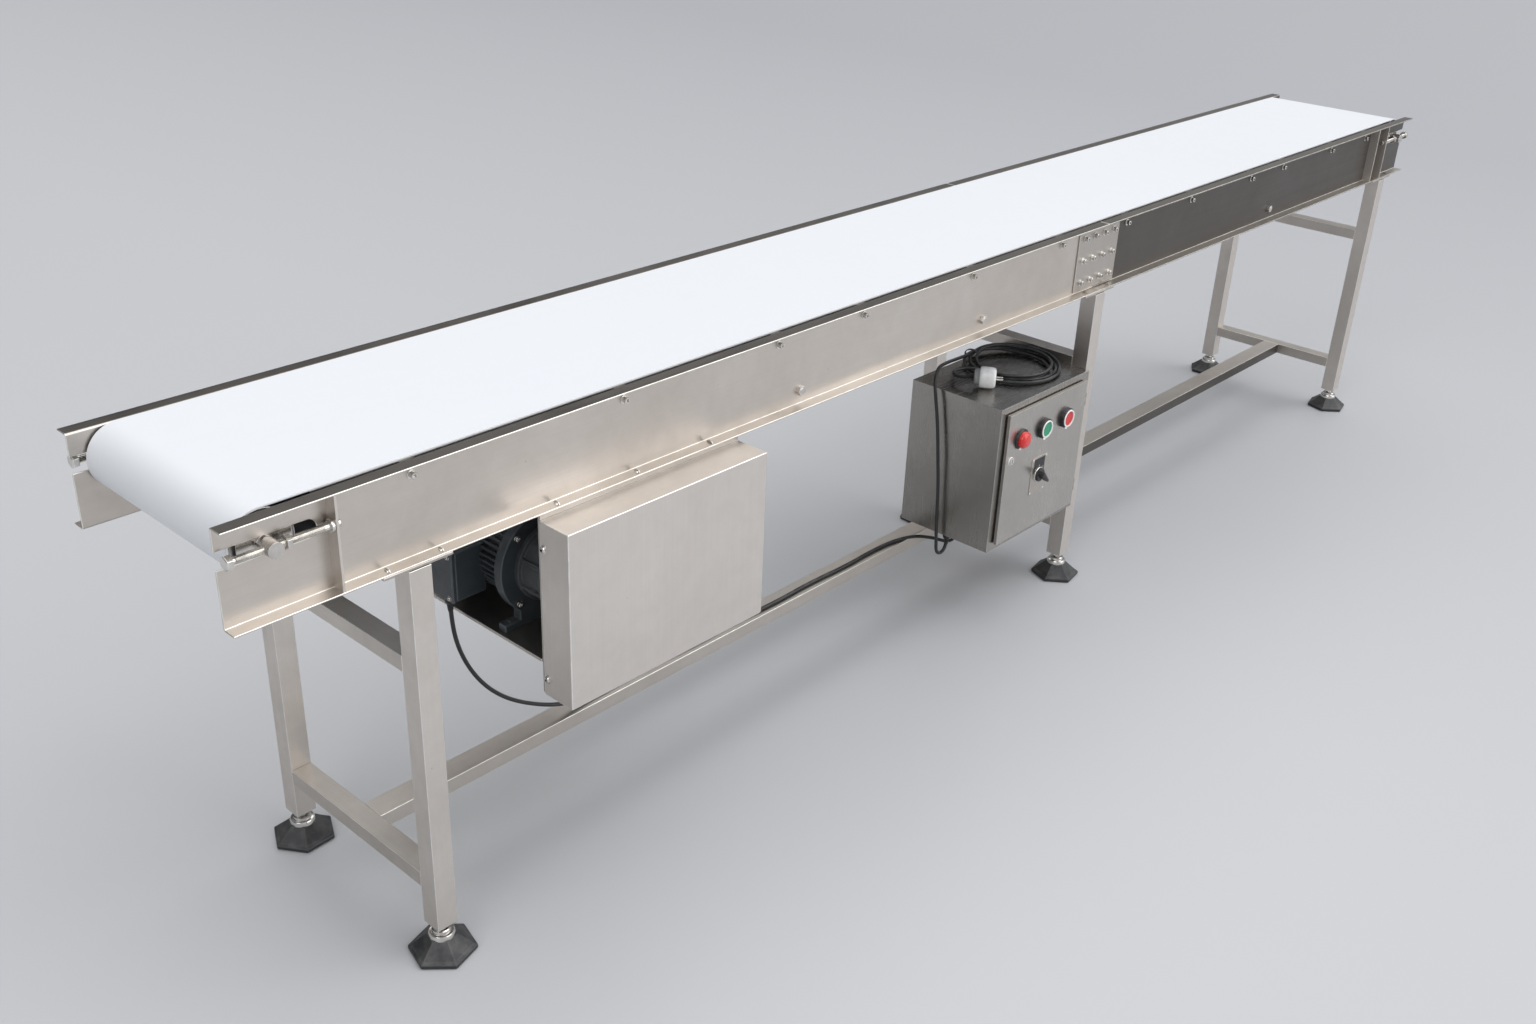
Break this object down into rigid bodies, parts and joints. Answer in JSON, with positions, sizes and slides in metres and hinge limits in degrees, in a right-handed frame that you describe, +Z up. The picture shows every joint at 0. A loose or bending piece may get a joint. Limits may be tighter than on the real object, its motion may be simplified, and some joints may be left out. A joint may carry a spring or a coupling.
{
  "type": "belt conveyor section",
  "caption": "Low flat belt conveyor section on three adjustable leg frames, with centre chain drive, take-ups at both ends and a control box.",
  "frame": {"origin": "on the floor, under the middle of the belt's length and width", "axes": "+X along the belt from the tail end to the head end, +Z up, -Y towards the side with the drive cover and control box"},
  "size_m": [4, 0.574, 0.9223],
  "materials": {
    "stainless": "brushed stainless sheet and tube, warm grey",
    "cover_stainless": "brushed stainless sheet of the chain cover",
    "box_stainless": "brushed stainless of the control box, darker",
    "bed_steel": "plain sheet steel",
    "bright_steel": "bright fasteners",
    "turned_steel": "turned shaft steel",
    "roller_steel": "turned roller tube",
    "cast_housing": "painted bearing housing",
    "chain_steel": "oiled roller chain",
    "motor_paint": "dark blue-grey motor paint",
    "black_plastic": "black moulded plastic",
    "black_rubber": "black door seal",
    "cable_sheath": "black cable sheath",
    "plug_white": "white moulded plug",
    "white_belt": "white food-grade belt",
    "grey_plastic": "grey switchgear plastic",
    "green_cap": "green push button",
    "red_cap": "red push button",
    "red_lens": "red lamp lens",
    "foot_rubber": "black foot pad on a bright stud"
  },
  "bodies": {
    "frame": {"belt": "white_belt", "box_body": "box_stainless", "box_gasket": "black_rubber", "box_glands": "black_plastic", "chain": "chain_steel", "chain_cover": "cover_stainless", "control_gear": "grey_plastic", "cross_ties": "bed_steel", "cross_tubes": "stainless", "drive_side_plates": "stainless", "drum_bearings": "cast_housing", "far_rails": "stainless", "floor_beams": "stainless", "frame_bolts": "bright_steel", "gear_head": "motor_paint", "leg_plates": "stainless", "leg_posts": "stainless", "motor_cable": "cable_sheath", "motor_end_bells": "motor_paint", "motor_gland": "black_plastic", "motor_shelf": "bed_steel", "motor_shell": "motor_paint", "near_rails": "stainless", "roller_axles": "bright_steel", "slider_bed": "bed_steel", "splice_plates": "stainless", "supply_coil": "cable_sheath", "supply_lead": "cable_sheath", "supply_plug": "plug_white", "takeup_flanges": "stainless", "web_bolts": "bright_steel"},
    "tail_takeup": {"tail_shaft": "turned_steel"},
    "head_takeup": {"head_shaft": "turned_steel"},
    "tail_roller": {"tail_roller": "roller_steel"},
    "head_roller": {"head_roller": "roller_steel"},
    "return_roller_1": {"return_roller_1": "roller_steel"},
    "return_roller_2": {"return_roller_2": "roller_steel"},
    "return_roller_3": {"return_roller_3": "roller_steel"},
    "snub_roller_tail": {"snub_roller_tail": "roller_steel"},
    "snub_roller_head": {"snub_roller_head": "roller_steel"},
    "tail_screw_near": {"tail_screw_near": "bright_steel"},
    "tail_screw_far": {"tail_screw_far": "bright_steel"},
    "head_screw_near": {"head_screw_near": "bright_steel"},
    "head_screw_far": {"head_screw_far": "bright_steel"},
    "motor_sprocket": {"motor_sprocket": "roller_steel"},
    "drive_drum": {"drive_drum": "roller_steel"},
    "door_lock": {"door_lock": "bright_steel"},
    "green_button": {"green_button": "green_cap"},
    "red_button": {"red_button": "red_cap"},
    "selector_knob": {"selector_knob": "black_plastic"},
    "foot_tail_near": {"foot_tail_near": "foot_rubber"},
    "foot_tail_far": {"foot_tail_far": "foot_rubber"},
    "foot_middle_near": {"foot_middle_near": "foot_rubber"},
    "foot_middle_far": {"foot_middle_far": "foot_rubber"},
    "foot_head_near": {"foot_head_near": "foot_rubber"},
    "foot_head_far": {"foot_head_far": "foot_rubber"},
    "box_door": {"box_door": "box_stainless", "operator_bodies": "black_plastic", "indicator_lamp": "red_lens", "selector_plate": "bright_steel"}
  },
  "joints": [
    {"name": "tail_takeup_slide", "type": "slide", "parent": "frame", "child": "tail_takeup", "axis": [1, 0, 0], "range_m": [0, 0.02]},
    {"name": "head_takeup_slide", "type": "slide", "parent": "frame", "child": "head_takeup", "axis": [-1, 0, 0], "range_m": [0, 0.02]},
    {"name": "drum_spin", "type": "hinge", "parent": "frame", "child": "drive_drum", "pos_m": [-1.12, 0, 0.665], "axis": [0, 1, 0], "continuous": true},
    {"name": "motor_spin", "type": "hinge", "parent": "frame", "child": "motor_sprocket", "pos_m": [-1.364, 0, 0.598], "axis": [0, 1, 0], "continuous": true},
    {"name": "tail_roller_spin", "type": "hinge", "parent": "tail_takeup", "child": "tail_roller", "pos_m": [-1.924, 0, 0.868], "axis": [0, 1, 0], "continuous": true},
    {"name": "head_roller_spin", "type": "hinge", "parent": "head_takeup", "child": "head_roller", "pos_m": [1.924, 0, 0.868], "axis": [0, 1, 0], "continuous": true},
    {"name": "return_spin_1", "type": "hinge", "parent": "frame", "child": "return_roller_1", "pos_m": [-0.82, 0, 0.7899], "axis": [0, 1, 0], "continuous": true},
    {"name": "return_spin_2", "type": "hinge", "parent": "frame", "child": "return_roller_2", "pos_m": [-0.23, 0, 0.7899], "axis": [0, 1, 0], "continuous": true},
    {"name": "return_spin_3", "type": "hinge", "parent": "frame", "child": "return_roller_3", "pos_m": [1.119, 0, 0.7899], "axis": [0, 1, 0], "continuous": true},
    {"name": "snub_tail_spin", "type": "hinge", "parent": "frame", "child": "snub_roller_tail", "pos_m": [-1.182, 0, 0.73], "axis": [0, 1, 0], "continuous": true},
    {"name": "snub_head_spin", "type": "hinge", "parent": "frame", "child": "snub_roller_head", "pos_m": [-1.058, 0, 0.73], "axis": [0, 1, 0], "continuous": true},
    {"name": "tail_screw_near_turn", "type": "hinge", "parent": "frame", "child": "tail_screw_near", "pos_m": [-1.986, -0.22, 0.868], "axis": [1, 0, 0], "range_deg": [0, 4800.01]},
    {"name": "tail_screw_far_turn", "type": "hinge", "parent": "frame", "child": "tail_screw_far", "pos_m": [-1.986, 0.22, 0.868], "axis": [1, 0, 0], "range_deg": [0, 4800.01]},
    {"name": "head_screw_near_turn", "type": "hinge", "parent": "frame", "child": "head_screw_near", "pos_m": [1.986, -0.22, 0.868], "axis": [-1, 0, 0], "range_deg": [0, 4800.01]},
    {"name": "head_screw_far_turn", "type": "hinge", "parent": "frame", "child": "head_screw_far", "pos_m": [1.986, 0.22, 0.868], "axis": [-1, 0, 0], "range_deg": [0, 4800.01]},
    {"name": "door_hinge", "type": "hinge", "parent": "frame", "child": "box_door", "pos_m": [0.1795, -0.2518, 0.39], "axis": [0, 0, 1], "range_deg": [0, 110]},
    {"name": "lock_turn", "type": "hinge", "parent": "box_door", "child": "door_lock", "pos_m": [-0.1255, -0.25, 0.438], "axis": [0, 1, 0], "range_deg": [0, 90]},
    {"name": "green_push", "type": "slide", "parent": "box_door", "child": "green_button", "axis": [0, 1, 0], "range_m": [0, 0.0035], "stiffness_N_per_m": 600},
    {"name": "red_push", "type": "slide", "parent": "box_door", "child": "red_button", "axis": [0, 1, 0], "range_m": [0, 0.0035], "stiffness_N_per_m": 600},
    {"name": "selector_turn", "type": "hinge", "parent": "box_door", "child": "selector_knob", "pos_m": [-0.0005, -0.27, 0.366], "axis": [0, 1, 0], "range_deg": [0, 90]},
    {"name": "foot_tail_near_screw", "type": "slide", "parent": "frame", "child": "foot_tail_near", "axis": [0, 0, -1], "range_m": [0, 0.03]},
    {"name": "foot_tail_far_screw", "type": "slide", "parent": "frame", "child": "foot_tail_far", "axis": [0, 0, -1], "range_m": [0, 0.03]},
    {"name": "foot_middle_near_screw", "type": "slide", "parent": "frame", "child": "foot_middle_near", "axis": [0, 0, -1], "range_m": [0, 0.03]},
    {"name": "foot_middle_far_screw", "type": "slide", "parent": "frame", "child": "foot_middle_far", "axis": [0, 0, -1], "range_m": [0, 0.03]},
    {"name": "foot_head_near_screw", "type": "slide", "parent": "frame", "child": "foot_head_near", "axis": [0, 0, -1], "range_m": [0, 0.03]},
    {"name": "foot_head_far_screw", "type": "slide", "parent": "frame", "child": "foot_head_far", "axis": [0, 0, -1], "range_m": [0, 0.03]}
  ],
  "couplings": [
    {"joint": "motor_spin", "follows": "drum_spin", "ratio": 1.5333},
    {"joint": "tail_roller_spin", "follows": "drum_spin", "ratio": 1.0784},
    {"joint": "head_roller_spin", "follows": "drum_spin", "ratio": 1.0784},
    {"joint": "return_spin_1", "follows": "drum_spin", "ratio": -2.3404},
    {"joint": "return_spin_2", "follows": "drum_spin", "ratio": -2.3404},
    {"joint": "return_spin_3", "follows": "drum_spin", "ratio": -2.3404},
    {"joint": "snub_tail_spin", "follows": "drum_spin", "ratio": -2.2},
    {"joint": "snub_head_spin", "follows": "drum_spin", "ratio": -2.2},
    {"joint": "tail_screw_near_turn", "follows": "tail_takeup_slide", "rad_per_m": 4188.8},
    {"joint": "tail_screw_far_turn", "follows": "tail_takeup_slide", "rad_per_m": 4188.8},
    {"joint": "head_screw_near_turn", "follows": "head_takeup_slide", "rad_per_m": 4188.8},
    {"joint": "head_screw_far_turn", "follows": "head_takeup_slide", "rad_per_m": 4188.8}
  ]
}
